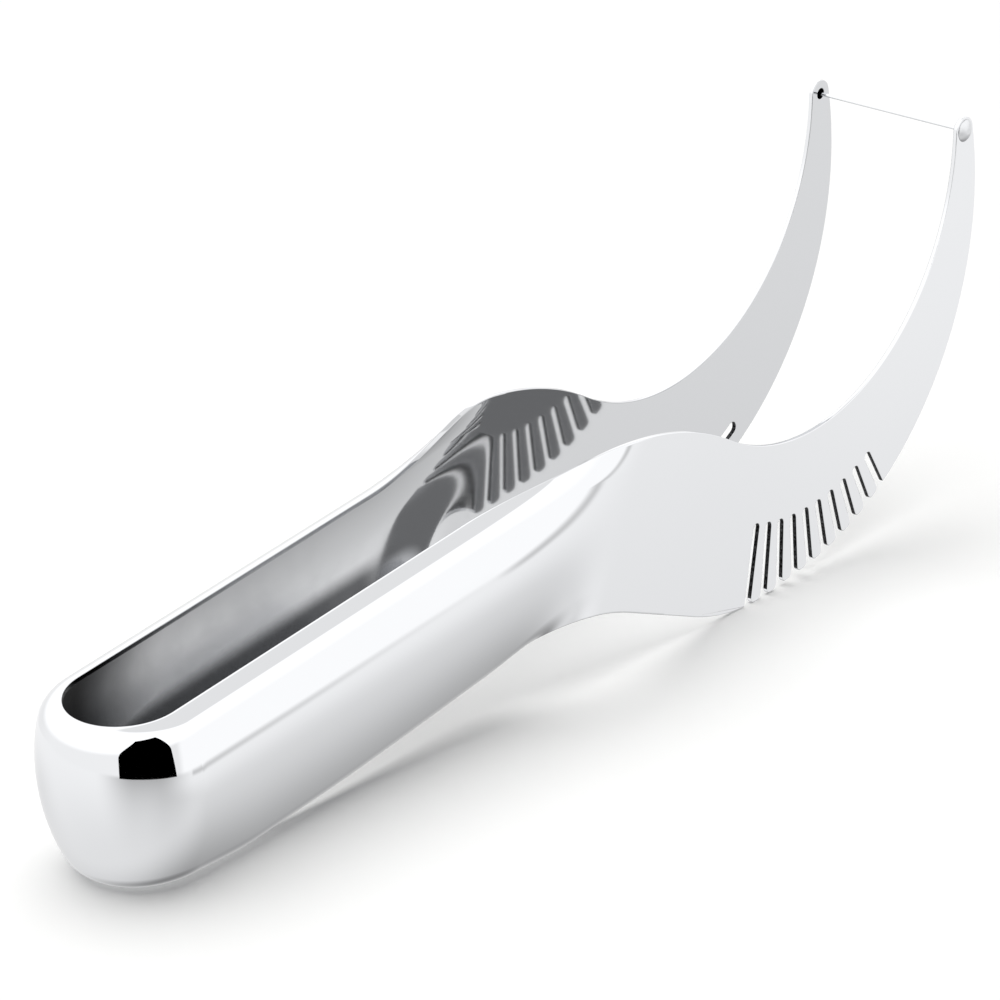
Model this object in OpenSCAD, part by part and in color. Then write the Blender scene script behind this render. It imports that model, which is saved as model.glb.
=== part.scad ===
// Watermelon cutter: one polished steel strip folded into a sprung U, with a cutting wire across its tips.
// It is drawn with the handle level, then tipped up so that it rests on the bow and the shoulders.
// X runs from the bow to the tips, Y across the two arms, and height 0 is the top of the handle.

/* [Strip] */
// Thickness of the steel sheet
sheet_t = 0.8; // [0.6:0.1:1.2]
// Half the handle's width, to the outside of its crowned wall
handle_half_w = 14.1; // [12:0.1:18]
// Height of the handle at the bow
handle_h = 27.4; // [25:0.1:30]
// Radius of the wall's crown, seen along the handle
crown_r = 34; // [28:1:60]
// Depth of the fullest point of the crown below the handle's top
crown_depth = 11.5; // [10:0.1:13]
// Radius of the turned-in top lip
top_lip_r = 4; // [2.5:0.1:5]
// Radius of the turned-in bottom lip
bottom_lip_r = 5; // [3:0.1:6]

/* [Grip] */
// How far the underside swells along the grip
belly = 1.8; // [0:0.1:2.5]
// Distance from the bow's centre over which the swelling grows
belly_full = 12; // [8:1:18]
// Distance from the bow's centre at which the swelling starts to fade
belly_hold = 26; // [20:1:34]
// Distance from the bow's centre at which the swelling has gone
belly_end = 90; // [70:1:100]

/* [Neck] */
// How far the flat arms stand outside the handle's crown
arm_step = 0.8; // [0:0.1:2]
// How far the flat neck's underside lies above the handle's
neck_rise = 4.2; // [2:0.1:6]
// Rise of the hump above the handle's top
hump_rise = 1; // [0:0.1:2]
// Distance of the hump's crest behind the middle of the blade
hump_back = 51.3; // [48:0.1:56]
// How far past the hump the top lip has become flat
top_fade_end = 14; // [8:1:18]
// Length over which the top lip flattens
top_fade_len = 38; // [28:1:50]
// How far before the hump the bottom lip has become flat
bottom_fade_end = 1; // [0:1:8]
// Length over which the bottom lip flattens
bottom_fade_len = 22; // [16:1:30]

/* [Blade] */
// Distance from the bow's centre to the middle of the blade
blade_x = 141.3; // [130:0.1:165]
// Height of the outer edge's centre above the handle's top
blade_z = 11.2; // [8:0.1:13]
// Radius of the outer edge
edge_r = 52.6; // [50:0.1:55]
// Width of the blade at its lowest point
blade_w = 23.2; // [20:0.1:26]
// Radius of the inner edge
throat_r = 40.2; // [37:0.1:42]
// Height of the wire above the handle's top
tip_h = 17.3; // [14:0.1:20]
// Width of the rounded tip
tip_w = 4.62; // [4:0.01:6]

/* [Shoulder] */
// Distance of the shoulder's centre behind the middle of the blade
shoulder_back = 8.3; // [6:0.1:12]
// How far the shoulder's underside hangs below the outer edge
shoulder_drop = 0.2; // [0:0.1:1]
// Radius of the shoulder's underside
shoulder_r = 42; // [39:0.1:45]
// Slope of the straight run from the neck to the shoulder, in degrees
shoulder_slope = 27.5; // [24:0.5:32]
// Radius of the turn from the neck to the straight run
neck_turn_r = 45; // [30:1:55]

/* [Comb] */
// Number of slots in the right arm's comb
slot_n = 10; // [5:1:11]
// Width of a slot
slot_w = 1.6; // [1:0.1:2.2]
// Depth of the slot nearest the handle
slot_deep = 12.1; // [9:0.1:14]
// Depth of the slot nearest the tip
slot_shallow = 8.2; // [6:0.1:10]
// Angle of the first slot from straight down
slot_first = -15.1; // [-18:0.1:-10]
// Angle from one slot to the next
slot_step = 4.57; // [4:0.01:5]

/* [Peeling slot] */
// Width of the left arm's curved slot
peel_w = 2.1; // [1.4:0.1:3]
// Metal between the curved slot and the outer edge
peel_rim = 2.7; // [2:0.1:4]
// Angle of the slot's end nearest the handle, from straight down
peel_from = -6; // [-12:1:4]
// Angle of the slot's end nearest the tip, from straight down
peel_to = 26; // [16:1:34]

/* [Wire] */
// Diameter of the cutting wire
wire_d = 0.6; // [0.4:0.1:0.9]
// Diameter of the crimped bead at each end of the wire
bead_d = 3.8; // [2.8:0.1:4.2]
// Height of the bead
bead_h = 0.8; // [0.6:0.1:1.4]
// Clearance round the wire where it is held
held_gap = 0.02; // [0.01:0.01:0.05]
// Clearance round the wire where it slides
slide_gap = 0.6; // [0.5:0.05:0.7]

/* [Fit] */
// Gap between the bow and each arm
seam_gap = 0.1; // [0.05:0.05:0.3]

/* [Hidden] */
$fn = 96;

steel = [0.80, 0.81, 0.82];
wire_steel = [0.66, 0.67, 0.68];

lip_steps = 6;
crown_steps = 8;
station_len = 3;
tongue = 1;
tongue_inset = 0.2;
// The curved slot's round ends are punched a little narrower than its sides
punch_step = 0.03;
far = 300;

function ease(x, a, b) =
    let (s = min(1, max(0, (x - a) / (b - a))))
    s * s * (3 - 2 * s);
function mix(a, b, f) = a + (b - a) * f;
function down(angle) = [sin(angle), -cos(angle)];

// Lip arcs that run smoothly into the crown of the handle's wall
arm_y = handle_half_w + arm_step;
crown_c = [handle_half_w - crown_r, -crown_depth];
function lip_c(r, z) =
    [crown_c[0] + sqrt(pow(crown_r - r, 2) - pow(z - crown_c[1], 2)), z];
top_lip_c = lip_c(top_lip_r, -top_lip_r);
bow_lip_c = lip_c(bottom_lip_r, bottom_lip_r - handle_h);
function lean(c) = atan2(c[1] - crown_c[1], c[0] - crown_c[0]);
function arc(c, r, a, b, n, first) =
    [for (i = [first:n]) c + r * [cos(mix(a, b, i / n)), sin(mix(a, b, i / n))]];

// Outside of the handle's wall, from the top lip's edge to the bottom lip's edge
function wall(depth) =
    let (low_c = lip_c(bottom_lip_r, bottom_lip_r - depth))
    let (high = lean(top_lip_c), low = lean(low_c))
    concat(
        arc(top_lip_c, top_lip_r, 90, high, lip_steps, 0),
        arc(crown_c, crown_r, high, low, crown_steps, 1),
        arc(low_c, bottom_lip_r, low, -90, lip_steps, 1)
    );
wall_n = 2 * lip_steps + crown_steps + 1;
bow_wall = wall(handle_h);
steps = [for (i = [1:wall_n - 1]) norm(bow_wall[i] - bow_wall[i - 1])];
function run(i) = i == 0 ? 0 : run(i - 1) + steps[i - 1];
share = [for (i = [0:wall_n - 1]) run(i) / run(wall_n - 1)];

// The same line moved inwards by the sheet's thickness
function turn(p, i) = p[min(i + 1, wall_n - 1)] - p[max(i - 1, 0)];
function inside(p) =
    [for (i = [0:wall_n - 1]) p[i] + sheet_t * [turn(p, i)[1], -turn(p, i)[0]] / norm(turn(p, i))];
function ring(p) =
    let (q = inside(p))
    concat(p, [for (i = [wall_n - 1:-1:0]) q[i]]);

// Blade, throat and shoulder circles, each placed from the outer edge
edge_c = [blade_x, blade_z];
edge_low = blade_z - edge_r;
edge_tip_x = blade_x + sqrt(pow(edge_r, 2) - pow(tip_h - blade_z, 2));
tip_c = [edge_tip_x - tip_w / 2, tip_h];
throat_z = edge_low + blade_w + throat_r;
throat_c = [edge_tip_x - tip_w - sqrt(pow(throat_r, 2) - pow(tip_h - throat_z, 2)), throat_z];
shoulder_c = [blade_x - shoulder_back, edge_low - shoulder_drop + shoulder_r];

// The hump's arc has a level crest and touches the throat
hump_x = blade_x - hump_back;
hump_d = throat_c - [hump_x, hump_rise];
hump_r = (hump_d * hump_d - throat_r * throat_r) / (2 * (throat_r - hump_d[1]));
hump_c = [hump_x, hump_rise - hump_r];
hump_end = hump_c + hump_r * (throat_c - hump_c) / norm(throat_c - hump_c);
function top_z(x) =
    x <= hump_x ? hump_rise : hump_c[1] + sqrt(pow(hump_r, 2) - pow(x - hump_x, 2));

// Underside of the flat arm: level neck, round turn, straight run, round shoulder
neck_z = neck_rise - handle_h;
slope = tan(shoulder_slope);
run_end = shoulder_c + shoulder_r * down(-shoulder_slope);
neck_corner = run_end[0] - (neck_z - run_end[1]) / slope;
turn_len = neck_turn_r * tan(shoulder_slope / 2);
turn_from = neck_corner - turn_len;
turn_to = neck_corner + turn_len * cos(shoulder_slope);
function bottom_z(x) =
    x <= turn_from ? neck_z
    : x <= turn_to ? neck_z - neck_turn_r + sqrt(pow(neck_turn_r, 2) - pow(x - turn_from, 2))
    : x <= run_end[0] ? run_end[1] + (run_end[0] - x) * slope
    : shoulder_c[1] - sqrt(pow(shoulder_r, 2) - pow(x - shoulder_c[0], 2));

// The handle's wall flattens into the arm, the bottom lip before the top lip
top_to = hump_x + top_fade_end;
bottom_to = hump_x - bottom_fade_end;
flat_x = top_to + 2 * tongue;
function swell(x) = belly * ease(x, 0, belly_full) * (1 - ease(x, belly_hold, belly_end));
function flatness(x, s) =
    ease(x, mix(top_to - top_fade_len, bottom_to - bottom_fade_len, s), mix(top_to, bottom_to, s));
function arm_line(x) =
    let (p = wall(handle_h + swell(x)))
    [for (i = [0:wall_n - 1])
        mix(p[i], [arm_y, mix(top_z(x), bottom_z(x), share[i])], flatness(x, share[i]))];
station_n = ceil(top_to / station_len);
stations = concat([for (i = [0:station_n]) mix(seam_gap, top_to, i / station_n)], [flat_x]);
last = len(stations) - 1;
ring_n = 2 * wall_n;

// Resting attitude: the bow's lip and the shoulders stand on the same level
foot_c = [-bow_lip_c[0], bow_lip_c[1]];
foot_d = shoulder_c - foot_c;
pitch = asin((shoulder_r - bottom_lip_r) / norm(foot_d)) - atan2(foot_d[1], foot_d[0]);
rest_z = bottom_lip_r - foot_c[0] * sin(pitch) - foot_c[1] * cos(pitch);
back_x = -crown_c[0] * cos(pitch) - crown_c[1] * sin(pitch) - crown_r;
front_x = edge_c[0] * cos(pitch) - edge_c[1] * sin(pitch) + edge_r;
rest_x = (back_x + front_x) / 2;

module resting() {
    translate([-rest_x, 0, rest_z]) rotate([0, -pitch, 0]) children();
}

module handle_wall() {
    rings = [for (x = stations) ring(arm_line(x))];
    points = [for (j = [0:last]) for (p = rings[j]) [stations[j], p[0], p[1]]];
    sides = [
        for (j = [0:last - 1])
            for (k = [0:ring_n - 1])
                let (a = j * ring_n + k, b = j * ring_n + (k + 1) % ring_n)
                    each [[a, b, b + ring_n], [a, b + ring_n, a + ring_n]]
    ];
    ends = [
        for (k = [0:wall_n - 2])
            let (e = last * ring_n, m = ring_n - 1)
                each [[m - k, m - k - 1, k + 1, k], [e + k, e + k + 1, e + m - k - 1, e + m - k]]
    ];
    polyhedron(points, concat(sides, ends));
}

// Flat part of an arm between the handle's wall and the throat
module shoulder_outline() {
    span = hump_end[0] - flat_x;
    xs = [for (i = [0:12]) flat_x + span * i / 12];
    back = flat_x - tongue;
    front = hump_end[0] + tongue;
    polygon(concat(
        [[back, bottom_z(flat_x) + tongue_inset + tongue], [back, top_z(flat_x) - tongue_inset]],
        [[flat_x, top_z(flat_x) - tongue_inset]],
        [for (x = xs) [x, top_z(x)]],
        [[front, hump_end[1] - 2 * tongue], [front, bottom_z(front) + tongue_inset]],
        [[hump_end[0], bottom_z(hump_end[0]) + tongue_inset]],
        [for (i = [12:-1:0]) [xs[i], bottom_z(xs[i])]],
        [[flat_x, bottom_z(flat_x) + tongue_inset + tongue]]
    ));
}

module blade_outline() {
    shoulder_outline();
    difference() {
        intersection() {
            union() {
                translate(edge_c) circle(edge_r, $fn = 240);
                translate(shoulder_c) circle(shoulder_r, $fn = 240);
            }
            translate([hump_end[0], tip_h - far]) square(far);
        }
        translate(throat_c) circle(throat_r, $fn = 240);
    }
    translate(tip_c) circle(d = tip_w);
}

module comb() {
    for (i = [0:slot_n - 1]) {
        depth = mix(slot_deep, slot_shallow, i / (slot_n - 1));
        translate(edge_c) rotate(slot_first + slot_step * i) {
            translate([-slot_w / 2, -edge_r - slot_deep]) square([slot_w, slot_deep + depth - slot_w / 2]);
            translate([0, depth - slot_w / 2 - edge_r]) circle(d = slot_w, $fn = 32);
        }
    }
}

module peeling_slot() {
    mid_r = edge_r - peel_rim - peel_w / 2;
    translate(edge_c) {
        intersection() {
            difference() {
                circle(mid_r + peel_w / 2, $fn = 240);
                circle(mid_r - peel_w / 2, $fn = 240);
            }
            polygon([[0, 0], far * down(peel_from), far * down(peel_to)]);
        }
        for (a = [peel_from, peel_to])
            translate(mid_r * down(a)) circle(d = peel_w - 2 * punch_step, $fn = 32);
    }
}

// Flat sheet whose outside lies on the left arm's outer face
module left_sheet() {
    translate([0, arm_y, 0]) rotate([90, 0, 0]) linear_extrude(sheet_t) children();
}

module wire_hole(d) {
    translate([tip_c[0], arm_y + sheet_t, tip_c[1]]) rotate([90, 0, 0]) cylinder(d = d, h = 3 * sheet_t);
}

// Domed bead with a blind hole for the wire, standing on the left arm's outer face
module bead() {
    dome_r = (bead_d * bead_d / 4 + bead_h * bead_h) / (2 * bead_h);
    hole_r = wire_d / 2 + held_gap;
    translate([tip_c[0], arm_y, tip_c[1]]) rotate([-90, 0, 0]) difference() {
        rotate_extrude() intersection() {
            translate([0, bead_h - dome_r]) circle(dome_r);
            square(bead_d);
        }
        translate([0, 0, -bead_h]) cylinder(r = hole_r, h = 1.6 * bead_h + held_gap);
    }
}

module spring_bow() {
    color(steel) resting()
        rotate([0, 0, 90]) rotate_extrude(angle = 180) polygon(ring(bow_wall));
}

module right_arm() {
    color(steel) resting() mirror([0, 1, 0]) difference() {
        union() {
            handle_wall();
            left_sheet() difference() {
                blade_outline();
                comb();
            }
        }
        wire_hole(wire_d + 2 * held_gap);
    }
}

module left_arm() {
    color(steel) resting() difference() {
        union() {
            handle_wall();
            left_sheet() difference() {
                blade_outline();
                peeling_slot();
            }
        }
        wire_hole(wire_d + 2 * slide_gap);
    }
}

module cutting_wire() {
    half = arm_y + 0.6 * bead_h;
    color(wire_steel) resting() translate([tip_c[0], half, tip_c[1]])
        rotate([90, 0, 0]) cylinder(d = wire_d, h = 2 * half, $fn = 32);
}

module right_wire_bead() {
    color(wire_steel) resting() mirror([0, 1, 0]) bead();
}

module left_wire_bead() {
    color(wire_steel) resting() bead();
}

spring_bow();
right_arm();
left_arm();
cutting_wire();
right_wire_bead();
left_wire_bead();
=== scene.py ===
import math

import bmesh
import bpy
from mathutils import Matrix, Vector


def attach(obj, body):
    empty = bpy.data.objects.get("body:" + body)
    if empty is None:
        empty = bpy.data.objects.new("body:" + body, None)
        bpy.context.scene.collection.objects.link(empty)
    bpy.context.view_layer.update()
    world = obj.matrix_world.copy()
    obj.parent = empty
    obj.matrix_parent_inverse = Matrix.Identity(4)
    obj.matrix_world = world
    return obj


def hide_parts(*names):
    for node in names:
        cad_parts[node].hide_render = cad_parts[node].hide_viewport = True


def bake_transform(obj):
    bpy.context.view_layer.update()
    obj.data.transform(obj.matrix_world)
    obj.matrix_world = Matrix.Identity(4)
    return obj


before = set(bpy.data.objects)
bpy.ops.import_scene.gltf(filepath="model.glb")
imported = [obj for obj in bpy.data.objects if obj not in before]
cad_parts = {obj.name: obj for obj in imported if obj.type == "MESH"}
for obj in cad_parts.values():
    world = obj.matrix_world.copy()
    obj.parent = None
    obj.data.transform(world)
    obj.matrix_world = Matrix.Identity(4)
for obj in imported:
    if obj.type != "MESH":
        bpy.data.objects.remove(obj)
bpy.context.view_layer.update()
print("frame loaded, nodes:", sorted(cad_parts))

for name in ("Cube", "Light", "Camera"):
    if name in bpy.data.objects:
        bpy.data.objects.remove(bpy.data.objects[name])
scene = bpy.context.scene
scene.view_settings.view_transform = "Standard"
mmPerM = 1000.0

# sizes in mm, with the handle level and height 0 at its top
strip = {
    "sheet": 0.8,
    "halfWidth": 14.1,
    "height": 27.4,
    "crownR": 34.0,
    "crownDepth": 11.5,
    "topLipR": 4.0,
    "bottomLipR": 5.0,
    "lipSteps": 14,
    "crownSteps": 20,
    "bowSteps": 160,
    "edgeRound": 0.14,
    "edgeRoundSteps": 2,
    "flatAngle": 0.5,
    "sharpAngle": 40.0,
}
grip = {"belly": 1.8, "start": -6.0, "full": 14.0, "hold": 26.0, "end": 90.0}
neck = {
    "armStep": 0.8,
    "rise": 4.2,
    "humpRise": 1.0,
    "humpBack": 51.3,
    "topFadeEnd": 14.0,
    "topFadeLen": 38.0,
    "bottomFadeEnd": 1.0,
    "bottomFadeLen": 22.0,
    "turnR": 45.0,
    "tongue": 2.0,
}
blade = {
    "x": 141.3,
    "z": 11.2,
    "edgeR": 52.6,
    "width": 23.2,
    "throatR": 40.2,
    "tipHeight": 17.3,
    "tipWidth": 4.62,
    "shoulderBack": 8.3,
    "shoulderDrop": 0.2,
    "shoulderR": 42.0,
    "shoulderSlope": 27.5,
}


def ease(x, a, b):
    s = min(1.0, max(0.0, (x - a) / (b - a)))
    return s * s * (3 - 2 * s)


def mix(a, b, f):
    return a + (b - a) * f


def down(angle):
    # direction at an angle from straight down, seen from the side
    return Vector((math.sin(math.radians(angle)), -math.cos(math.radians(angle))))


# cross-section of the handle's wall: two lip arcs that run into the crown
crownC = Vector((strip["halfWidth"] - strip["crownR"], -strip["crownDepth"]))


def lipCentre(r, z):
    return Vector((crownC.x + math.sqrt((strip["crownR"] - r) ** 2 - (z - crownC.y) ** 2), z))


def lean(c):
    return math.degrees(math.atan2(c.y - crownC.y, c.x - crownC.x))


topLipC = lipCentre(strip["topLipR"], -strip["topLipR"])
bottomLipC = lipCentre(strip["bottomLipR"], strip["bottomLipR"] - strip["height"])

# circles of the blade, throat, shoulder and hump, seen from the side
armY = strip["halfWidth"] + neck["armStep"]
edgeC = Vector((blade["x"], blade["z"]))
edgeLow = blade["z"] - blade["edgeR"]
edgeTipX = blade["x"] + math.sqrt(blade["edgeR"] ** 2 - (blade["tipHeight"] - blade["z"]) ** 2)
tipC = Vector((edgeTipX - blade["tipWidth"] / 2, blade["tipHeight"]))
throatZ = edgeLow + blade["width"] + blade["throatR"]
throatC = Vector((
    edgeTipX - blade["tipWidth"] - math.sqrt(blade["throatR"] ** 2 - (blade["tipHeight"] - throatZ) ** 2),
    throatZ,
))
shoulderC = Vector((blade["x"] - blade["shoulderBack"], edgeLow - blade["shoulderDrop"] + blade["shoulderR"]))
humpX = blade["x"] - neck["humpBack"]
humpD = throatC - Vector((humpX, neck["humpRise"]))
humpR = (humpD.length_squared - blade["throatR"] ** 2) / (2 * (blade["throatR"] - humpD.y))
humpC = Vector((humpX, neck["humpRise"] - humpR))
humpEnd = humpC + humpR * (throatC - humpC).normalized()

# underside of the flat arm: level neck, round turn, straight run, round shoulder
neckZ = neck["rise"] - strip["height"]
slope = math.tan(math.radians(blade["shoulderSlope"]))
runEnd = shoulderC + blade["shoulderR"] * down(-blade["shoulderSlope"])
neckCorner = runEnd.x - (neckZ - runEnd.y) / slope
turnLen = neck["turnR"] * math.tan(math.radians(blade["shoulderSlope"] / 2))
turnFrom = neckCorner - turnLen
turnTo = neckCorner + turnLen * math.cos(math.radians(blade["shoulderSlope"]))


def topZ(x):
    if x <= humpX:
        return neck["humpRise"]
    return humpC.y + math.sqrt(humpR ** 2 - (x - humpX) ** 2)


def bottomZ(x):
    if x <= turnFrom:
        return neckZ
    if x <= turnTo:
        return neckZ - neck["turnR"] + math.sqrt(neck["turnR"] ** 2 - (x - turnFrom) ** 2)
    if x <= runEnd.x:
        return runEnd.y + (runEnd.x - x) * slope
    return shoulderC.y - math.sqrt(blade["shoulderR"] ** 2 - (x - shoulderC.x) ** 2)


topTo = humpX + neck["topFadeEnd"]
bottomTo = humpX - neck["bottomFadeEnd"]
flatX = topTo + neck["tongue"]


def flatness(x, share):
    start = mix(topTo - neck["topFadeLen"], bottomTo - neck["bottomFadeLen"], share)
    return ease(x, start, mix(topTo, bottomTo, share))


# the cutter rests on its bow and its shoulders, so it is tipped up a little
footC = Vector((-bottomLipC.x, bottomLipC.y))
footD = shoulderC - footC
pitch = math.asin((blade["shoulderR"] - strip["bottomLipR"]) / footD.length) - math.atan2(footD.y, footD.x)
restZ = strip["bottomLipR"] - footC.x * math.sin(pitch) - footC.y * math.cos(pitch)
backX = -crownC.x * math.cos(pitch) - crownC.y * math.sin(pitch) - strip["crownR"]
frontX = edgeC.x * math.cos(pitch) - edgeC.y * math.sin(pitch) + blade["edgeR"]
restX = (backX + frontX) / 2
resting = (
    Matrix.Scale(1 / mmPerM, 4)
    @ Matrix.Translation((-restX, 0, restZ))
    @ Matrix.Rotation(-pitch, 4, "Y")
)
handleStart = resting @ Vector((0, 0, 0))

# finishes; settings that many nodes share
soft = {"interpolation_type": "SMOOTHSTEP"}
multiply = {"operation": "MULTIPLY"}
subtract = {"operation": "SUBTRACT"}
dot = {"operation": "DOT_PRODUCT"}
colours = {"data_type": "RGBA"}


def srgb(hexCode):
    parts = [int(hexCode[i:i + 2], 16) / 255 for i in (1, 3, 5)]
    return tuple(p / 12.92 if p <= 0.04045 else ((p + 0.055) / 1.055) ** 2.4 for p in parts) + (1.0,)


def plugIn(tree, node, inputs):
    # an input takes a value, or another node's output
    for name, value in inputs.items():
        if isinstance(value, bpy.types.NodeSocket):
            tree.links.new(value, node.inputs[name])
        else:
            node.inputs[name].default_value = value


def addNode(tree, kind, settings=(), inputs=()):
    node = tree.nodes.new(kind)
    for name, value in dict(settings).items():
        setattr(node, name, value)
    plugIn(tree, node, dict(inputs))
    return node


def newMaterial(name):
    material = bpy.data.materials.new(name)
    material.use_nodes = True
    tree = material.node_tree
    return material, tree, tree.nodes["Principled BSDF"]


# stainless sheet, buffed to a mirror: sharp reflections, faint buffing haze and a slight roll of the sheet
polish = {
    "colour": "#e5e6e8", "hazeMm": 9.0, "hazeRange": (0.35, 0.7), "roughLow": 0.015, "roughHigh": 0.045,
    "rollMm": 55.0, "rollHeight": 0.0004,
}
mirrorSteel, tree, shader = newMaterial("mirrorBuffedStainless")
where = addNode(tree, "ShaderNodeTexCoord").outputs["Object"]
haze = addNode(tree, "ShaderNodeTexNoise", inputs={
    "Vector": where, "Scale": mmPerM / polish["hazeMm"], "Detail": 3.0, "Roughness": 0.55,
})
hazeRough = addNode(tree, "ShaderNodeMapRange", inputs={
    "Value": haze.outputs["Fac"], "From Min": polish["hazeRange"][0], "From Max": polish["hazeRange"][1],
    "To Min": polish["roughLow"], "To Max": polish["roughHigh"],
})
roll = addNode(tree, "ShaderNodeTexNoise", inputs={
    "Vector": where, "Scale": mmPerM / polish["rollMm"], "Detail": 0.0,
})
rollBump = addNode(tree, "ShaderNodeBump", inputs={
    "Height": roll.outputs["Fac"], "Strength": 1.0, "Distance": polish["rollHeight"],
})
plugIn(tree, shader, {
    "Base Color": srgb(polish["colour"]), "Metallic": 1.0,
    "Roughness": hazeRough.outputs["Result"], "Normal": rollBump.outputs["Normal"],
})

# inside of the strip: satin in the handle where the wheel can't reach, bright along the arms; painted shade
# makes it dark low in the slotted side and in the bow, and nearly black at the bow's end; each fade runs from
# 0 at its first distance to 1 at its second, in mm along the handle, down from its top or across it
inside = {
    "colour": "#d0d1d3", "paintedShadeColour": "#5a5b5d", "paintedBlackColour": "#141415",
    "hazeMm": 4.0, "hazeRange": (0.35, 0.7), "roughLow": 0.19, "roughHigh": 0.27,
    "bright": (58.0, 80.0), "deep": (13.0, 16.5), "lowShadeEnd": (78.0, 66.0), "lowShadeSide": (-2.0, 2.0),
    "bow": (23.0, 6.0), "blackShadeEnd": (10.0, 2.0),
}
innerSteel, tree, shader = newMaterial("satinToBrightStainlessPaintedShade")
where = addNode(tree, "ShaderNodeTexCoord").outputs["Object"]


def measured(tree, where, axis):
    # distance in mm from the start of the handle along one of its own directions
    direction = (resting.to_3x3() @ Vector(axis)).normalized() * mmPerM
    reach = addNode(tree, "ShaderNodeVectorMath", dot, {0: where, 1: direction})
    past = {0: reach.outputs["Value"], 1: handleStart.dot(direction)}
    return addNode(tree, "ShaderNodeMath", subtract, past).outputs["Value"]


along = measured(tree, where, (1, 0, 0))
below = measured(tree, where, (0, 0, -1))
across = measured(tree, where, (0, 1, 0))
fades = {}
for name, distance in (
    ("bright", along), ("deep", below), ("lowShadeEnd", along),
    ("lowShadeSide", across), ("bow", along), ("blackShadeEnd", along),
):
    fades[name] = addNode(tree, "ShaderNodeMapRange", soft, {
        "Value": distance, "From Min": inside[name][0], "From Max": inside[name][1],
    }).outputs["Result"]
# painted shade: the colour goes dark low in the slotted side and in the bow, and near black at the bow's end
lowShade = addNode(tree, "ShaderNodeMath", multiply, {0: fades["deep"], 1: fades["lowShadeEnd"]})
lowShade = addNode(tree, "ShaderNodeMath", multiply, {0: lowShade.outputs["Value"], 1: fades["lowShadeSide"]})
paintedShade = addNode(tree, "ShaderNodeMath", {"operation": "MAXIMUM"}, {
    0: lowShade.outputs["Value"], 1: fades["bow"],
})
shadedTone = addNode(tree, "ShaderNodeMix", colours, {
    0: paintedShade.outputs["Value"], 6: srgb(inside["colour"]), 7: srgb(inside["paintedShadeColour"]),
})
blackShadedTone = addNode(tree, "ShaderNodeMix", colours, {
    0: fades["blackShadeEnd"], 6: shadedTone.outputs[2], 7: srgb(inside["paintedBlackColour"]),
})
haze = addNode(tree, "ShaderNodeTexNoise", inputs={
    "Vector": where, "Scale": mmPerM / inside["hazeMm"], "Detail": 3.0, "Roughness": 0.55,
})
satinRough = addNode(tree, "ShaderNodeMapRange", inputs={
    "Value": haze.outputs["Fac"], "From Min": inside["hazeRange"][0], "From Max": inside["hazeRange"][1],
    "To Min": inside["roughLow"], "To Max": inside["roughHigh"],
})
rough = addNode(tree, "ShaderNodeMix", inputs={
    "Factor": fades["bright"], "A": satinRough.outputs["Result"], "B": polish["roughHigh"],
})
plugIn(tree, shader, {
    "Base Color": blackShadedTone.outputs[2], "Metallic": 1.0, "Roughness": rough.outputs["Result"],
})

# laser-cut slot walls, left unpolished, with a near-black colour that is painted shade, so they read as dark
# lines with a fine grain
cutEdge = {
    "dark": "#050505", "light": "#4d4e50", "grainMm": 0.35, "darkTo": 0.42, "lightFrom": 0.72, "rough": 0.42,
}
cutSteel, tree, shader = newMaterial("laserCutSteelEdge")
where = addNode(tree, "ShaderNodeTexCoord").outputs["Object"]
grain = addNode(tree, "ShaderNodeTexNoise", inputs={
    "Vector": where, "Scale": mmPerM / cutEdge["grainMm"], "Detail": 2.0,
})
grainTone = addNode(tree, "ShaderNodeValToRGB", inputs={"Fac": grain.outputs["Fac"]})
darkStop, lightStop = grainTone.color_ramp.elements
darkStop.position = cutEdge["darkTo"]
darkStop.color = srgb(cutEdge["dark"])
lightStop.position = cutEdge["lightFrom"]
lightStop.color = srgb(cutEdge["light"])
plugIn(tree, shader, {
    "Base Color": grainTone.outputs["Color"], "Metallic": 1.0, "Roughness": cutEdge["rough"],
})

# drawn stainless wire: bright, with lines along it that are coarser than real ones, so that they show
wireFinish = {"colour": "#eaebed", "lineMm": 0.25, "stretch": 0.04, "roughLow": 0.06, "roughHigh": 0.24}
brightWire, tree, shader = newMaterial("drawnStainlessWire")
where = addNode(tree, "ShaderNodeTexCoord").outputs["Object"]
stretched = addNode(tree, "ShaderNodeMapping", inputs={
    "Vector": where, "Scale": (1.0, wireFinish["stretch"], 1.0),
})
lines = addNode(tree, "ShaderNodeTexNoise", inputs={
    "Vector": stretched.outputs["Vector"], "Scale": mmPerM / wireFinish["lineMm"], "Detail": 2.0,
})
lineRough = addNode(tree, "ShaderNodeMapRange", inputs={
    "Value": lines.outputs["Fac"], "To Min": wireFinish["roughLow"], "To Max": wireFinish["roughHigh"],
})
plugIn(tree, shader, {
    "Base Color": srgb(wireFinish["colour"]), "Metallic": 1.0, "Roughness": lineRough.outputs["Result"],
})

# crimped beads: pressed satin steel with faint dents from the pliers
crimp = {"colour": "#dcdddf", "dentMm": 0.9, "dentHeight": 0.00003, "roughLow": 0.28, "roughHigh": 0.4}
crimpedSteel, tree, shader = newMaterial("crimpedSatinSteel")
where = addNode(tree, "ShaderNodeTexCoord").outputs["Object"]
dents = addNode(tree, "ShaderNodeTexNoise", inputs={
    "Vector": where, "Scale": mmPerM / crimp["dentMm"], "Detail": 2.0,
})
dentRough = addNode(tree, "ShaderNodeMapRange", inputs={
    "Value": dents.outputs["Fac"], "To Min": crimp["roughLow"], "To Max": crimp["roughHigh"],
})
dentBump = addNode(tree, "ShaderNodeBump", inputs={
    "Height": dents.outputs["Fac"], "Strength": 1.0, "Distance": crimp["dentHeight"],
})
plugIn(tree, shader, {
    "Base Color": srgb(crimp["colour"]), "Metallic": 1.0,
    "Roughness": dentRough.outputs["Result"], "Normal": dentBump.outputs["Normal"],
})
print("finishes made")


# bmesh helpers

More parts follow.
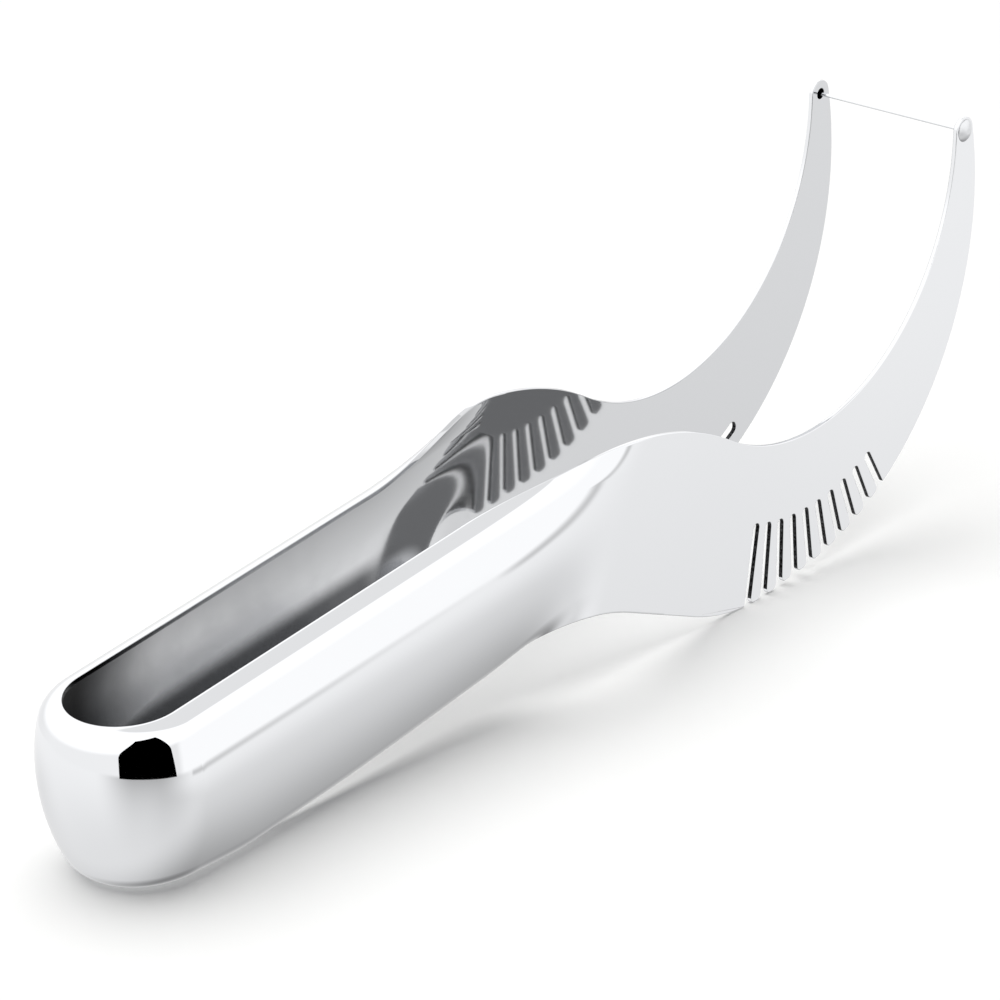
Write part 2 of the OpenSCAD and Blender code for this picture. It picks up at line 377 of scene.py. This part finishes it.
def pivotSpin(bm, geom, centre, axis, degrees, steps, shift=(0, 0, 0)):
    return bmesh.ops.spin(
        bm, geom=geom, cent=centre, axis=axis, dvec=shift, angle=math.radians(degrees), steps=steps,
        use_merge=(degrees == 360), use_duplicate=False,
    )["geom_last"]


def sweep(bm, vert, centre, degrees, steps, y):
    # carries a corner of an outline round a centre, in the plane of an arm
    last = pivotSpin(bm, [vert], (centre.x, y, centre.y), (0, -1, 0), degrees, steps)
    return [g for g in last if isinstance(g, bmesh.types.BMVert)][0]


def draw(bm, vert, place):
    new = bmesh.ops.extrude_vert_indiv(bm, verts=[vert])["verts"][0]
    new.co = (place.x, vert.co.y, place.y)
    return new


def newPiece(name, bm, materials):
    mesh = bpy.data.meshes.new(name)
    bm.to_mesh(mesh)
    for material in materials:
        mesh.materials.append(material)
    mesh.shade_smooth()
    piece = bpy.data.objects.new(name, mesh)
    scene.collection.objects.link(piece)
    return piece


# the strip: bow, handle, shoulders, comb and blades in one sheet; sizes in mm, turns in degrees
comb = {
    "count": 10, "width": 1.6, "deep": 12.1, "shallow": 8.2, "first": -15.1, "step": 4.57,
    "round": 0.9, "roundSteps": 4, "topSteps": 10,
}
peelSlot = {"width": 2.1, "rim": 2.7, "start": -6.0, "end": 26.0, "sideSteps": 60, "endSteps": 12}
wireHole = {"held": 0.32, "slide": 0.9, "segments": 32}
plate = {
    "humpSteps": 24, "throatSteps": 120, "tipSteps": 24, "edgeSteps": 110, "shoulderSteps": 40,
    "combedShoulderSteps": 20, "shoulderShare": 0.995,  # stops just short of the first slot
    "crossingFrom": -6.0, "crossingStep": 0.05,
}
combHalfTurn = math.degrees(math.asin(comb["width"] / 2 / blade["edgeR"]))
slotR = blade["edgeR"] - peelSlot["rim"] - peelSlot["width"] / 2


def lowerEdge(angle):
    # point of the arm's lower edge at an angle from straight down, about the blade's centre
    d = down(angle)
    s = shoulderC - edgeC
    reach = d.dot(s) + math.sqrt(d.dot(s) ** 2 - s.length_squared + blade["shoulderR"] ** 2)
    return edgeC + d * max(blade["edgeR"], reach)


def offBoth(p):
    # how far a point is off the shoulder's circle and the outer edge's
    return abs((p - shoulderC).length - blade["shoulderR"]) + abs((p - edgeC).length - blade["edgeR"])


def turnOf(c, a, b):
    return math.degrees(math.atan2(b.y - c.y, b.x - c.x) - math.atan2(a.y - c.y, a.x - c.x))


def drawComb(bm, vert, y):
    # each slot: up one side, round its top and down the other side
    half = comb["width"] / 2
    corners = []
    for i in range(comb["count"]):
        angle = comb["first"] + comb["step"] * i
        depth = mix(comb["deep"], comb["shallow"], i / (comb["count"] - 1))
        sideways = Vector((math.cos(math.radians(angle)), math.sin(math.radians(angle))))
        top = edgeC + down(angle) * (blade["edgeR"] - depth + half)
        vert = draw(bm, vert, lowerEdge(angle - combHalfTurn))
        corners.append(vert)
        vert = draw(bm, vert, top - sideways * half)
        vert = sweep(bm, vert, top, -180, comb["topSteps"], y)
        vert = draw(bm, vert, lowerEdge(angle + combHalfTurn))
        corners.append(vert)
    return vert, corners


def drawPeelSlot(bm, y):
    # an arc-shaped slot with round ends, along the outer edge
    span = peelSlot["end"] - peelSlot["start"]
    startC = edgeC + down(peelSlot["start"]) * slotR
    endC = edgeC + down(peelSlot["end"]) * slotR
    p = edgeC + down(peelSlot["start"]) * (slotR + peelSlot["width"] / 2)
    first = bm.verts.new((p.x, y, p.y))
    last = first
    for centre, degrees, steps in (
        (edgeC, span, peelSlot["sideSteps"]),
        (endC, 180, peelSlot["endSteps"]),
        (edgeC, -span, peelSlot["sideSteps"]),
        (startC, 180, peelSlot["endSteps"]),
    ):
        last = sweep(bm, last, centre, degrees, steps, y)
    bmesh.ops.pointmerge(bm, verts=[last, first], merge_co=first.co)


def drawPlate(bm, endVerts, side):
    # outline of the flat arm, from the end of the handle's wall
    y = side * armY
    high = max(endVerts, key=lambda v: v.co.z)
    low = min(endVerts, key=lambda v: v.co.z)
    before = set(bm.edges)

    # upper edge: hump, throat, rounded tip
    atHigh = Vector((high.co.x, high.co.z))
    inner = tipC - Vector((blade["tipWidth"] / 2, 0))
    outer = tipC + Vector((blade["tipWidth"] / 2, 0))
    v = sweep(bm, high, humpC, turnOf(humpC, atHigh, humpEnd), plate["humpSteps"], y)
    v = sweep(bm, v, throatC, turnOf(throatC, humpEnd, inner) % 360, plate["throatSteps"], y)
    v = sweep(bm, v, tipC, -180, plate["tipSteps"], y)

    # lower edge: straight run and shoulder from the neck side, outer edge from the tip side
    corners = []
    w = draw(bm, low, runEnd)
    if side < 0:
        firstCut = lowerEdge(comb["first"] - combHalfTurn)
        shoulderTurn = turnOf(shoulderC, runEnd, firstCut) * plate["shoulderShare"]
        w = sweep(bm, w, shoulderC, shoulderTurn, plate["combedShoulderSteps"], y)
        w, corners = drawComb(bm, w, y)
    else:
        # the shoulder's circle and the outer edge's cross just in front of the shoulder's lowest point
        tries = range(round(plate["crossingFrom"] / plate["crossingStep"]), 0)
        crossing = min((lowerEdge(i * plate["crossingStep"]) for i in tries), key=offBoth)
        w = sweep(bm, w, shoulderC, turnOf(shoulderC, runEnd, crossing), plate["shoulderSteps"], y)
    v = sweep(bm, v, edgeC, turnOf(edgeC, outer, Vector((w.co.x, w.co.z))), plate["edgeSteps"], y)
    bmesh.ops.pointmerge(bm, verts=[v, w], merge_co=w.co)

    bmesh.ops.create_circle(
        bm, segments=wireHole["segments"], radius=wireHole["slide"] if side > 0 else wireHole["held"],
        matrix=Matrix.Translation((tipC.x, y, tipC.y)) @ Matrix.Rotation(math.radians(90), 4, "X"),
    )
    if side > 0:
        drawPeelSlot(bm, y)
    outline = [e for e in bm.edges if e not in before and e.is_valid]
    return outline, [c for c in corners if c.is_valid]


# half of the section is spun from one vertex, and each vertex keeps its share of the way down the wall
bm = bmesh.new()
shareLayer = bm.verts.layers.float.new("share")
high = lean(topLipC)
low = lean(bottomLipC)
v = bm.verts.new((0, topLipC.x, 0))
for centre, degrees, steps in (
    (topLipC, high - 90, strip["lipSteps"]),
    (crownC, low - high, strip["crownSteps"]),
    (bottomLipC, -90 - low, strip["lipSteps"]),
):
    last = pivotSpin(bm, [v], (0, centre.x, centre.y), (1, 0, 0), degrees, steps)
    v = [g for g in last if isinstance(g, bmesh.types.BMVert)][0]
bm.verts.ensure_lookup_table()
run = 0.0
for i, v in enumerate(bm.verts):
    run += (v.co - bm.verts[max(i - 1, 0)].co).length
    v[shareLayer] = run
for v in bm.verts:
    v[shareLayer] /= run
section = bm.verts[:] + bm.edges[:]

stations = int(flatX)
stride = flatX / stations
leftEnd = pivotSpin(bm, section, (0, 0, 0), (1, 0, 0), 0, stations, (stride, 0, 0))
farSection = pivotSpin(bm, section, (0, 0, 0), (0, 0, 1), 180, strip["bowSteps"])
rightEnd = pivotSpin(bm, farSection, (0, 0, 0), (1, 0, 0), 0, stations, (stride, 0, 0))
print("strip swept, faces:", len(bm.faces))

# the underside swells along the grip, then the wall flattens into the arm
lowest = -strip["crownDepth"]
for v in bm.verts:
    x, y, z = v.co
    if x < grip["start"]:
        continue
    side = 1 if y > 0 else -1
    swelling = grip["belly"] * ease(x, grip["start"], grip["full"]) * (1 - ease(x, grip["hold"], grip["end"]))
    if z < lowest:
        z -= swelling * (lowest - z) / (lowest + strip["height"])
    share = v[shareLayer]
    f = flatness(x, share)
    v.co.y = mix(y, side * armY, f)
    v.co.z = mix(z, mix(topZ(x), bottomZ(x), share), f)

toothCorners = []
for end, side in ((leftEnd, 1), (rightEnd, -1)):
    endVerts = [g for g in end if isinstance(g, bmesh.types.BMVert)]
    endEdges = [g for g in end if isinstance(g, bmesh.types.BMEdge)]
    outline, corners = drawPlate(bm, endVerts, side)
    bmesh.ops.triangle_fill(
        bm, edges=outline + endEdges, use_beauty=False, use_dissolve=False, normal=(0, side, 0),
    )
    toothCorners += corners
print("arms drawn")

bmesh.ops.recalc_face_normals(bm, faces=bm.faces[:])
rear = min(bm.faces, key=lambda f: f.calc_center_median().x)
if rear.normal.x > 0:
    bmesh.ops.reverse_faces(bm, faces=bm.faces[:])

# flat parts become few large faces, then the sheet gets its thickness towards the inside
tolerance = 1e-3
flatEdges = [
    e for e in bm.edges
    if e.is_manifold and all(v.co.x > flatX - tolerance for v in e.verts)
    and not all(v.co.x < flatX + tolerance for v in e.verts)
]
bmesh.ops.dissolve_limit(
    bm, angle_limit=math.radians(strip["flatAngle"]), verts=[], edges=flatEdges,
    use_dissolve_boundaries=False,
)
bmesh.ops.bevel(
    bm, geom=toothCorners, offset=comb["round"], offset_type="OFFSET", segments=comb["roundSteps"],
    profile=0.5, affect="VERTICES", material=-1, clamp_overlap=False,
)
bmesh.ops.solidify(bm, geom=bm.faces[:], thickness=strip["sheet"])
bmesh.ops.recalc_face_normals(bm, faces=bm.faces[:])
sharp = math.radians(strip["sharpAngle"])
rims = [e for e in bm.edges if e.is_manifold and e.calc_face_angle() > sharp]
bmesh.ops.bevel(
    bm, geom=rims, offset=strip["edgeRound"], offset_type="OFFSET", segments=strip["edgeRoundSteps"],
    profile=0.5, affect="EDGES", material=-1, clamp_overlap=False,
)
bm.normal_update()
print("strip solid, faces:", len(bm.faces), "open edges:", sum(not e.is_manifold for e in bm.edges))

# slot and hole walls get the cut finish, and the inside of the strip its own, both with painted shade;
# margins in mm and degrees
stripFinishes = (mirrorSteel, cutSteel, innerSteel)
cutFace = {
    "inwards": -0.35, "flat": 0.6, "holeMargin": 0.1, "topMargin": 0.5, "edgeMargin": 0.6,
    "combTurn": 2.0, "slotTurn": 3.0,
}
combTop = blade["edgeR"] - comb["deep"] - cutFace["topMargin"]
combBottom = blade["edgeR"] - cutFace["edgeMargin"]
for f in bm.faces:
    c = f.calc_center_median()
    outwards = Vector((min(c.x, 0.0), c.y, 0.0)).normalized()
    if f.normal.dot(outwards) < cutFace["inwards"]:
        f.material_index = stripFinishes.index(innerSteel)
    if c.x < flatX or abs(f.normal.y) > cutFace["flat"]:
        continue
    place = Vector((c.x, c.z))
    fromEdgeC = (place - edgeC).length
    turned = math.degrees(math.atan2(place.x - edgeC.x, edgeC.y - place.y))
    inHole = (place - tipC).length < wireHole["slide"] + cutFace["holeMargin"]
    inComb = (
        c.y < 0 and c.z < 0 and combTop < fromEdgeC < combBottom
        and comb["first"] - cutFace["combTurn"] < turned < comb["first"] + comb["step"] * comb["count"]
    )
    inSlot = (
        c.y > 0 and abs(fromEdgeC - slotR) < peelSlot["width"]
        and peelSlot["start"] - cutFace["slotTurn"] < turned < peelSlot["end"] + cutFace["slotTurn"]
    )
    if inHole or inComb or inSlot:
        f.material_index = stripFinishes.index(cutSteel)

# large faces lead the shading, so flats stay flat up to their rounded rims
keptNormal = bm.verts.layers.float_vector.new("keptNormal")
for v in bm.verts:
    total = Vector()
    for f in v.link_faces:
        total += f.normal * f.calc_area()
    v[keptNormal] = total.normalized()

turnIn = resting.to_3x3().normalized()
for name, node, body, wanted in (
    ("sprungBow", "spring_bow", "bow", lambda c: c.x < 0),
    ("combedArm", "right_arm", "right_arm", lambda c: c.x > 0 and c.y < 0),
    ("slottedArm", "left_arm", "left_arm", lambda c: c.x > 0 and c.y > 0),
):
    part = bm.copy()
    unwanted = [f for f in part.faces if not wanted(f.calc_center_median())]
    bmesh.ops.delete(part, geom=unwanted, context="FACES")
    bmesh.ops.holes_fill(part, edges=[e for e in part.edges if e.is_boundary], sides=0)
    bmesh.ops.transform(part, matrix=resting, verts=part.verts[:])
    layer = part.verts.layers.float_vector["keptNormal"]
    normals = [turnIn @ v[layer] for v in part.verts]
    piece = newPiece(name, part, stripFinishes)
    piece.data.normals_split_custom_set_from_vertices(normals)
    part.free()
    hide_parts(node)
    if body == "bow":
        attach(piece, body)
    else:
        # the arm keeps its resting place baked into its mesh; the end of the grip's hold is worked out but
        # not used
        end = resting @ Vector((grip["hold"], 0, 0))
        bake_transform(piece)
    print("strip piece:", name, len(piece.data.polygons))
bm.free()

# wire, taut between the tips
wire = {"d": 0.6, "reach": 0.6, "segments": 20, "steps": 48, "merge": 0.001}
bead = {
    "d": 3.8, "h": 0.8, "rings": 12, "turns": 48, "boreGap": 0.02, "merge": 0.002,
    "dimple": 0.08, "dimpleFrom": 0.1, "dimpleTo": 0.6, "domeFrom": 0.5, "backFacing": -0.9,
}
half = armY + wire["reach"] * bead["h"]
bm = bmesh.new()
bmesh.ops.create_circle(
    bm, cap_ends=True, segments=wire["segments"], radius=wire["d"] / 2,
    matrix=Matrix.Translation((tipC.x, -half, tipC.y)) @ Matrix.Rotation(math.radians(90), 4, "X"),
)
pivotSpin(bm, bm.faces[:], (0, 0, 0), (0, 1, 0), 0, wire["steps"], (0, 2 * half / wire["steps"], 0))
bmesh.ops.remove_doubles(bm, verts=bm.verts[:], dist=wire["merge"])
bmesh.ops.recalc_face_normals(bm, faces=bm.faces[:])
bmesh.ops.transform(bm, matrix=resting, verts=bm.verts[:])
piece = newPiece("cutterWire", bm, (brightWire,))
bm.free()
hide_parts("cutting_wire")
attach(piece, "right_arm")

# crimped beads on the outside of both tips
domeR = (bead["d"] ** 2 / 4 + bead["h"] ** 2) / (2 * bead["h"])
opening = math.degrees(math.asin(bead["d"] / 2 / domeR))
for name, node, side in (("combedTipBead", "right_wire_bead", -1), ("slottedTipBead", "left_wire_bead", 1)):
    bm = bmesh.new()
    rim = bm.verts.new((bead["d"] / 2, 0, 0))
    pivotSpin(bm, [rim], (0, 0, bead["h"] - domeR), (0, -1, 0), opening, bead["rings"])
    floorEdge = bmesh.ops.extrude_vert_indiv(bm, verts=[rim])["verts"][0]
    floorEdge.co = (wire["d"] / 2 + bead["boreGap"], 0, 0)
    pivotSpin(bm, bm.verts[:] + bm.edges[:], (0, 0, 0), (0, 0, 1), 360, bead["turns"])
    bmesh.ops.remove_doubles(bm, verts=bm.verts[:], dist=bead["merge"])
    for v in bm.verts:
        fromAxis = math.hypot(v.co.x, v.co.y)
        if v.co.z > bead["domeFrom"] * bead["h"]:
            v.co.z -= bead["dimple"] * (1 - ease(fromAxis, bead["dimpleFrom"], bead["dimpleTo"]))
    bmesh.ops.recalc_face_normals(bm, faces=bm.faces[:])
    bm.normal_update()
    for f in bm.faces:
        if f.normal.z < bead["backFacing"]:
            # the flat back takes the cut walls' near-black painted shade, for the dark seen through the hole
            f.material_index = 1  # the flat back, seen through the hole in the tip
    outside = Matrix.Translation((tipC.x, side * armY, tipC.y))
    facing = Matrix.Rotation(math.radians(-90 * side), 4, "X")
    bmesh.ops.transform(bm, matrix=resting @ (outside @ facing), verts=bm.verts[:])
    piece = newPiece(name, bm, (crimpedSteel, cutSteel))
    bm.free()
    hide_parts(node)
    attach(piece, "right_arm")
print("wire and beads made")


def addStage(name, bm, finish):
    mesh = bpy.data.meshes.new(name)
    bm.to_mesh(mesh)
    bm.free()
    mesh.materials.append(finish)
    card = bpy.data.objects.new(name, mesh)
    scene.collection.objects.link(card)
    return card


# studio: white paper under a broad soft sun, with a little light from all round
studio = {
    "paper": "#fafaf9", "rough": 0.9, "lift": 0.05, "floorHalf": 0.9,
    "fill": 0.04, "sun": 3.15, "sunSpread": 80.0, "sunFrom": (0.0, 0.2, 0.98),
}
white = (1, 1, 1, 1)
paper, tree, shader = newMaterial("coatedWhitePaper")
path = addNode(tree, "ShaderNodeLightPath")
lifted = addNode(tree, "ShaderNodeMath", multiply, {0: path.outputs["Is Camera Ray"], 1: studio["lift"]})
plugIn(tree, shader, {
    "Base Color": srgb(studio["paper"]), "Roughness": studio["rough"], "Specular IOR Level": 0.0,
    "Emission Color": white, "Emission Strength": lifted.outputs["Value"],
})
bm = bmesh.new()
bmesh.ops.create_grid(bm, x_segments=1, y_segments=1, size=studio["floorHalf"])
paperFloor = addStage("paperFloor", bm, paper)
paperFloor.visible_glossy = False  # the steel mirrors the room below instead

# a dark screen bent round the left of the bow, which only the steel mirrors, without any gloss of its own;
# sizes in m, turns in degrees, heights as sines
screen = {
    "colour": "#000000", "centre": (-0.094, -0.008, 0.02), "reach": 0.15, "foot": -0.287, "top": 0.85,
    "from": -152.0, "to": -83.0, "leftLean": 25.0, "rightLean": 12.0, "steps": 69,
}
blackCloth, tree, shader = newMaterial("blackCloth")
plugIn(tree, shader, {"Base Color": srgb(screen["colour"]), "Roughness": 1.0, "Specular IOR Level": 0.0})
bm = bmesh.new()
foot = bm.verts.new((screen["reach"], 0, screen["reach"] * math.tan(math.asin(screen["foot"]))))
firstTurn = Matrix.Rotation(math.radians(screen["from"]), 3, "Z")
bmesh.ops.rotate(bm, cent=(0, 0, 0), matrix=firstTurn, verts=[foot])
pivotSpin(bm, [foot], (0, 0, 0), (0, 0, 1), screen["to"] - screen["from"], screen["steps"])
upper = bmesh.ops.extrude_edge_only(bm, edges=bm.edges[:])["geom"]
for v in [g for g in upper if isinstance(g, bmesh.types.BMVert)]:
    angle = math.degrees(math.atan2(v.co.y, v.co.x))
    leftTop = math.sqrt(max(0.0, angle - screen["from"]) / screen["leftLean"])
    rightTop = screen["foot"] + max(0.0, screen["to"] - angle) / screen["rightLean"]
    v.co.z = screen["reach"] * math.tan(math.asin(min(screen["top"], leftTop, rightTop)))
bmesh.ops.translate(bm, vec=screen["centre"], verts=bm.verts[:])
darkScreen = addStage("darkScreen", bm, blackCloth)
darkScreen.visible_camera = False
darkScreen.visible_diffuse = False
darkScreen.visible_shadow = False

# what the steel mirrors: pale walls and a white panel above a white table, a grey ceiling, and the table's
# shade under the cutter and the screen; levels are brightness, heights are sines, turns are degrees about Z
room = {
    "panel": 1.31, "panelHeight": (0.0, 0.3),
    "lowPanel": 1.22, "panelTurn": (-76.0, -41.0), "panelTurnSoft": 5.0,
    "wall": 1.0, "leftWall": 1.08, "rim": -0.287, "rimSoft": 0.02,
    "table": (0.88, 1.07), "tableHeight": (-0.5, -0.32),
    "leftTable": (0.93, 1.1), "leftHeight": (-0.9, -0.25), "leftFrom": (0.3, -0.5),
    "edge": 0.72, "edgeBand": 0.03, "edgeTurn": (-62.0, -45.0), "edgeTurnSoft": 2.0,
    "ceiling": 0.96, "ceilingTo": (0.528, 0.046, 0.848), "ceilingCos": 0.895, "ceilingSoft": 0.012,
    "screenShade": 0.52, "screenTurn": (-158.0, -82.0), "screenTurnSoft": 24.0,
    "shade": 0.7, "shadeTo": (0.421, 0.037, -0.906), "shadeCos": 0.62,
    "gap": 0.31, "gapTurn": (30.0, 48.0), "gapTurnSoft": 4.0,
    "gapHeight": (-0.55, -0.24), "gapHeightSoft": 0.04,
}


def band(tree, value, limits, fade):
    # 1 between two limits, with soft ends
    low, high = limits
    opening = addNode(tree, "ShaderNodeMapRange", soft, {
        "Value": value, "From Min": low - fade, "From Max": low + fade,
    })
    closing = addNode(tree, "ShaderNodeMapRange", soft, {
        "Value": value, "From Min": high + fade, "From Max": high - fade,
    })
    both = {0: opening.outputs["Result"], 1: closing.outputs["Result"]}
    return addNode(tree, "ShaderNodeMath", multiply, both).outputs["Value"]


def swell(tree, value, start, end, most):
    # rises from 0 at the start, ever faster, to the most at the end
    share = addNode(tree, "ShaderNodeMapRange", inputs={"Value": value, "From Min": start, "From Max": end})
    twice = {0: share.outputs["Result"], 1: share.outputs["Result"]}
    squared = addNode(tree, "ShaderNodeMath", multiply, twice)
    return addNode(tree, "ShaderNodeMath", multiply, {0: squared.outputs["Value"], 1: most}).outputs["Value"]


world = bpy.data.worlds.new("whiteStudio")
scene.world = world
world.use_nodes = True
tree = world.node_tree
tree.nodes.clear()
direction = addNode(tree, "ShaderNodeTexCoord").outputs["Generated"]
axes = addNode(tree, "ShaderNodeSeparateXYZ", inputs={"Vector": direction})
height = axes.outputs["Z"]
turn = addNode(tree, "ShaderNodeMath", {"operation": "ARCTAN2"}, {0: axes.outputs["Y"], 1: axes.outputs["X"]})
turn = addNode(tree, "ShaderNodeMath", {"operation": "DEGREES"}, {0: turn.outputs["Value"]}).outputs["Value"]

# the table, with a darker edge and two shades on it
rim = room["rim"]
onLeft = addNode(tree, "ShaderNodeMapRange", soft, {
    "Value": axes.outputs["X"], "From Min": room["leftFrom"][0], "From Max": room["leftFrom"][1],
}).outputs["Result"]
leftTable = addNode(tree, "ShaderNodeMapRange", soft, {
    "Value": height, "From Min": room["leftHeight"][0], "From Max": room["leftHeight"][1],
    "To Min": room["leftTable"][0], "To Max": room["leftTable"][1],
})
rightTable = addNode(tree, "ShaderNodeMapRange", soft, {
    "Value": height, "From Min": room["tableHeight"][0], "From Max": room["tableHeight"][1],
    "To Min": room["table"][0], "To Max": room["table"][1],
})
table = addNode(tree, "ShaderNodeMix", inputs={
    "Factor": onLeft, "A": rightTable.outputs["Result"], "B": leftTable.outputs["Result"],
})
edgeRise = addNode(tree, "ShaderNodeMapRange", soft, {
    "Value": height, "From Min": rim - room["edgeBand"] - room["rimSoft"], "From Max": rim - room["rimSoft"],
})
inEdge = addNode(tree, "ShaderNodeMath", multiply, {
    0: edgeRise.outputs["Result"], 1: band(tree, turn, room["edgeTurn"], room["edgeTurnSoft"]),
})
table = addNode(tree, "ShaderNodeMix", inputs={
    "Factor": inEdge.outputs["Value"], "A": table.outputs["Result"], "B": room["edge"],
})
underScreen = addNode(tree, "ShaderNodeMath", multiply, {
    0: band(tree, turn, room["screenTurn"], room["screenTurnSoft"]),
    1: swell(tree, height, -1.0, rim, room["screenShade"]),
})
towardsShade = addNode(tree, "ShaderNodeVectorMath", dot, {0: direction, 1: room["shadeTo"]})
underCutter = swell(tree, towardsShade.outputs["Value"], room["shadeCos"], 1.0, room["shade"])
for shade in (underCutter, underScreen.outputs["Value"]):
    lit = addNode(tree, "ShaderNodeMath", subtract, {0: 1.0, 1: shade})
    table = addNode(tree, "ShaderNodeMath", multiply, {0: table.outputs[0], 1: lit.outputs["Value"]})

# walls, panel and ceiling above it
walls = addNode(tree, "ShaderNodeMix", inputs={"Factor": onLeft, "A": room["wall"], "B": room["leftWall"]})
walls = addNode(tree, "ShaderNodeMix", inputs={
    "Factor": band(tree, turn, room["panelTurn"], room["panelTurnSoft"]),
    "A": walls.outputs["Result"], "B": room["lowPanel"],
})
inPanel = addNode(tree, "ShaderNodeMapRange", soft, {
    "Value": height, "From Min": room["panelHeight"][0], "From Max": room["panelHeight"][1],
})
panels = addNode(tree, "ShaderNodeMix", inputs={
    "Factor": inPanel.outputs["Result"], "A": walls.outputs["Result"], "B": room["panel"],
})
towardsCeiling = addNode(tree, "ShaderNodeVectorMath", dot, {0: direction, 1: room["ceilingTo"]})
inCeiling = addNode(tree, "ShaderNodeMapRange", soft, {
    "Value": towardsCeiling.outputs["Value"],
    "From Min": room["ceilingCos"] - room["ceilingSoft"],
    "From Max": room["ceilingCos"] + room["ceilingSoft"],
})
panels = addNode(tree, "ShaderNodeMix", inputs={
    "Factor": inCeiling.outputs["Result"], "A": panels.outputs["Result"], "B": room["ceiling"],
})

# both meet at the rim of the table, with a dark gap on the far side
aboveRim = addNode(tree, "ShaderNodeMapRange", soft, {
    "Value": height, "From Min": rim - room["rimSoft"], "From Max": rim + room["rimSoft"],
})
tone = addNode(tree, "ShaderNodeMix", inputs={
    "Factor": aboveRim.outputs["Result"], "A": table.outputs["Value"], "B": panels.outputs["Result"],
})
inGap = addNode(tree, "ShaderNodeMath", multiply, {
    0: band(tree, turn, room["gapTurn"], room["gapTurnSoft"]),
    1: band(tree, height, room["gapHeight"], room["gapHeightSoft"]),
})
tone = addNode(tree, "ShaderNodeMix", inputs={
    "Factor": inGap.outputs["Value"], "A": tone.outputs["Result"], "B": room["gap"],
})

# the camera sees white, the steel mirrors the room, and everything else gets the fill
path = addNode(tree, "ShaderNodeLightPath")
seen = addNode(tree, "ShaderNodeBackground", inputs={"Color": white, "Strength": 1.0})
mirrored = addNode(tree, "ShaderNodeBackground", inputs={"Color": white, "Strength": tone.outputs["Result"]})
fill = addNode(tree, "ShaderNodeBackground", inputs={"Color": white, "Strength": studio["fill"]})
inGlossy = addNode(tree, "ShaderNodeMixShader", inputs={
    0: path.outputs["Is Glossy Ray"], 1: fill.outputs["Background"], 2: mirrored.outputs["Background"],
})
inCamera = addNode(tree, "ShaderNodeMixShader", inputs={
    0: path.outputs["Is Camera Ray"], 1: inGlossy.outputs["Shader"], 2: seen.outputs["Background"],
})
addNode(tree, "ShaderNodeOutputWorld", inputs={"Surface": inCamera.outputs["Shader"]})

sun = bpy.data.lights.new("softSun", "SUN")
sun.energy = studio["sun"]
sun.angle = math.radians(studio["sunSpread"])
sunObject = bpy.data.objects.new("softSun", sun)
sunObject.rotation_euler = Vector(studio["sunFrom"]).to_track_quat("Z", "Y").to_euler()
sunObject.visible_glossy = False
scene.collection.objects.link(sunObject)

# camera at the photograph's viewing angle
view = {
    "place": (-0.6333, -0.5065, 0.3779), "look": (0.7156, 0.5756, -0.3959),
    "lens": 205.3, "sensor": 36.0, "nearest": 0.01,
}
cameraData = bpy.data.cameras.new("studioCamera")
cameraData.lens = view["lens"]
cameraData.sensor_width = view["sensor"]
cameraData.clip_start = view["nearest"]
camera = bpy.data.objects.new("studioCamera", cameraData)
camera.location = view["place"]
camera.rotation_euler = Vector(view["look"]).to_track_quat("-Z", "Y").to_euler()
scene.collection.objects.link(camera)
scene.camera = camera
print("studio and camera set")
